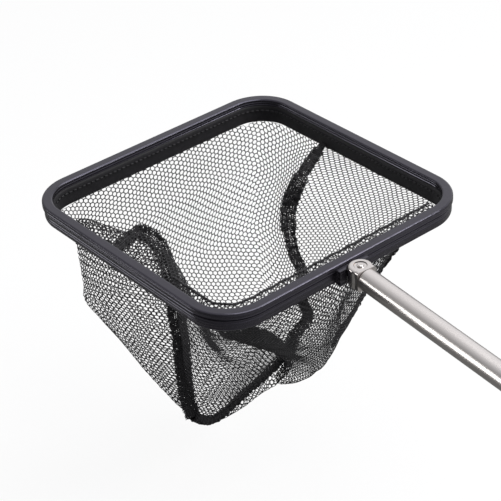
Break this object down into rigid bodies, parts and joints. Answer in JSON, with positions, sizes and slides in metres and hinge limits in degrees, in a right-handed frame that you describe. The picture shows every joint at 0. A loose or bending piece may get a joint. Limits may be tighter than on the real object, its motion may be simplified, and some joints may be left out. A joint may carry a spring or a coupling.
{
  "type": "aquarium fish net",
  "caption": "Square hand net for lifting fish: black clamped rim, fine sewn net bag, riveted swivel knuckle and a telescopic steel tube handle pushed in.",
  "frame": {"origin": "on the handle tube's axis, half way along the outer tube", "axes": "+X along the handle, away from the net; +Z out of the net's mouth, up as the net is held level"},
  "size_m": [0.3127, 0.1383, 0.1038],
  "materials": {
    "rim_plastic": "glossy black moulded plastic",
    "net_fabric": "black knitted polyester net",
    "steel_tube": "drawn stainless tube, satin to bright",
    "knuckle_metal": "bright plated knuckle",
    "bush_bronze": "thin spring bronze",
    "plug_plastic": "black moulded plastic"
  },
  "bodies": {
    "handle": {"grip_tube": "steel_tube", "end_plug": "plug_plastic"},
    "second_section": {"second_tube": "steel_tube", "second_bush": "bush_bronze"},
    "third_section": {"third_tube": "steel_tube", "third_bush": "bush_bronze"},
    "fourth_section": {"fourth_tube": "steel_tube", "fourth_bush": "bush_bronze"},
    "tip": {"tip_rod": "steel_tube", "tip_bush": "bush_bronze", "knuckle_fork": "knuckle_metal", "rivet_washers": "knuckle_metal", "hinge_rivet": "steel_tube"},
    "net_head": {"rim_top_ring": "rim_plastic", "rim_lower_ring": "rim_plastic", "net_hem": "net_fabric", "net_front_panel": "net_fabric", "net_rear_panel": "net_fabric", "net_seam": "net_fabric", "rim_stub": "knuckle_metal"}
  },
  "joints": [
    {"name": "second_slide", "type": "slide", "parent": "handle", "child": "second_section", "axis": [-1, 0, 0], "range_m": [0, 0.14]},
    {"name": "third_slide", "type": "slide", "parent": "second_section", "child": "third_section", "axis": [-1, 0, 0], "range_m": [0, 0.13]},
    {"name": "fourth_slide", "type": "slide", "parent": "third_section", "child": "fourth_section", "axis": [-1, 0, 0], "range_m": [0, 0.126]},
    {"name": "tip_slide", "type": "slide", "parent": "fourth_section", "child": "tip", "axis": [-1, 0, 0], "range_m": [0, 0.122]},
    {"name": "head_swing", "type": "hinge", "parent": "tip", "child": "net_head", "pos_m": [-0.0841, 0, 0], "axis": [0, 0, 1], "range_deg": [-70, 59]}
  ]
}
